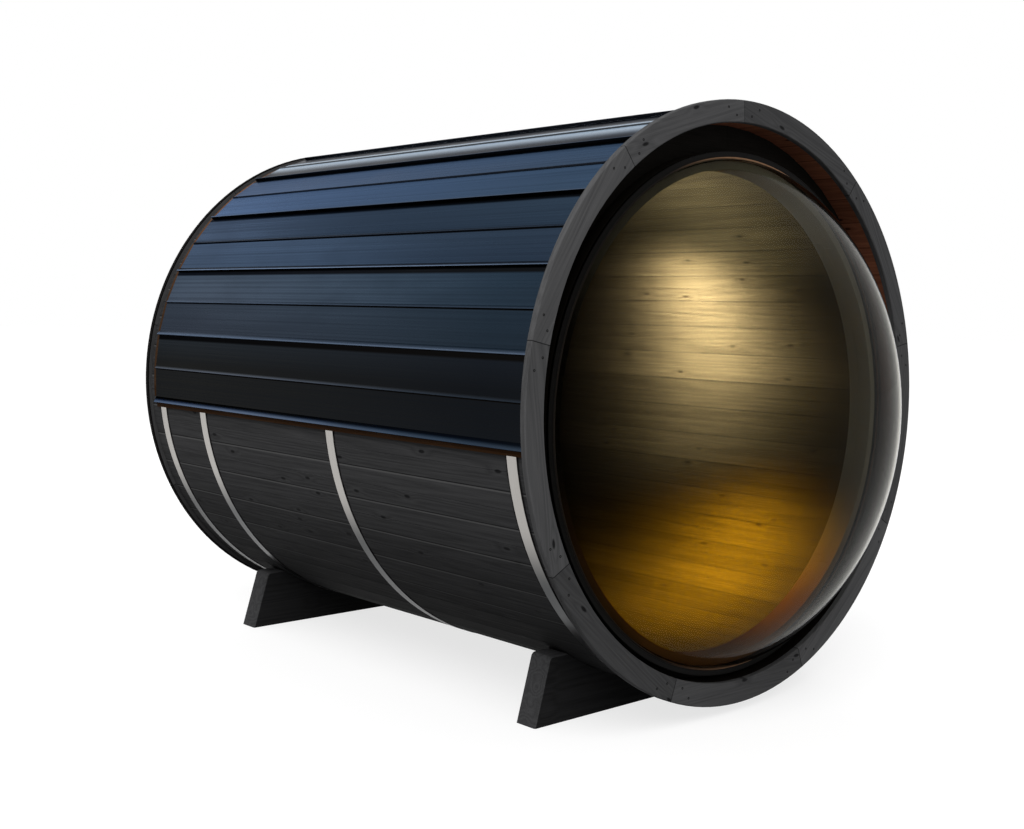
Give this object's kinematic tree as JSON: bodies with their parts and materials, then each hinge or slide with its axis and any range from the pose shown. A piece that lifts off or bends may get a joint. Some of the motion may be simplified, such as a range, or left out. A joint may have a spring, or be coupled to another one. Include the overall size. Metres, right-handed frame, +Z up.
{
  "type": "barrel sauna",
  "caption": "Lying barrel sauna of dark wooden staves with steel bands, a standing-seam roof sheet, a large bubble window at one end, a boarded wall with a door at the other, on wooden cradles.",
  "frame": {"origin": "on the ground under the middle of the whole length, bubble window included", "axes": "+Z up, the barrel lies along Y, the bubble window faces -Y and the door +Y, +X to the right seen from the window end"},
  "size_m": [2.0999, 2.845, 2.1353],
  "materials": {
    "charcoal_wood": "charcoal stain, matt, grain and knots showing",
    "black_wood": "black paint, matt",
    "raw_wood": "bare wood",
    "roof_sheet": "blue-black coated steel, satin",
    "band_steel": "satin stainless",
    "black_metal": "black powder coat, satin",
    "tinted_acrylic": "clear tinted acrylic, gloss"
  },
  "bodies": {
    "root": {"cradle_front": "charcoal_wood", "cradle_rear": "charcoal_wood", "door_frame": "charcoal_wood", "door_handle": "charcoal_wood", "door_hinges": "black_metal", "door_leaf": "charcoal_wood", "eave_trims": "roof_sheet", "front_ring": "charcoal_wood", "rear_ring": "charcoal_wood", "rear_wall_left": "charcoal_wood", "rear_wall_over_door": "charcoal_wood", "rear_wall_right": "charcoal_wood", "rear_wall_under_door": "charcoal_wood", "ridge_cap": "roof_sheet", "roof_battens": "raw_wood", "roof_panel_left_1": "roof_sheet", "roof_panel_left_2": "roof_sheet", "roof_panel_left_3": "roof_sheet", "roof_panel_left_4": "roof_sheet", "roof_panel_left_5": "roof_sheet", "roof_panel_left_6": "roof_sheet", "roof_panel_right_1": "roof_sheet", "roof_panel_right_2": "roof_sheet", "roof_panel_right_3": "roof_sheet", "roof_panel_right_4": "roof_sheet", "roof_panel_right_5": "roof_sheet", "roof_panel_right_6": "roof_sheet", "staves_01": "charcoal_wood", "staves_02": "charcoal_wood", "staves_03": "charcoal_wood", "staves_04": "charcoal_wood", "staves_05": "charcoal_wood", "staves_06": "charcoal_wood", "staves_07": "charcoal_wood", "staves_08": "charcoal_wood", "staves_09": "charcoal_wood", "staves_10": "charcoal_wood", "steel_band_1": "band_steel", "steel_band_2": "band_steel", "steel_band_3": "band_steel", "steel_band_4": "band_steel", "window_collar": "black_wood", "window_dome": "tinted_acrylic", "window_trim": "black_metal", "window_wall": "black_wood"}
  },
  "joints": []
}
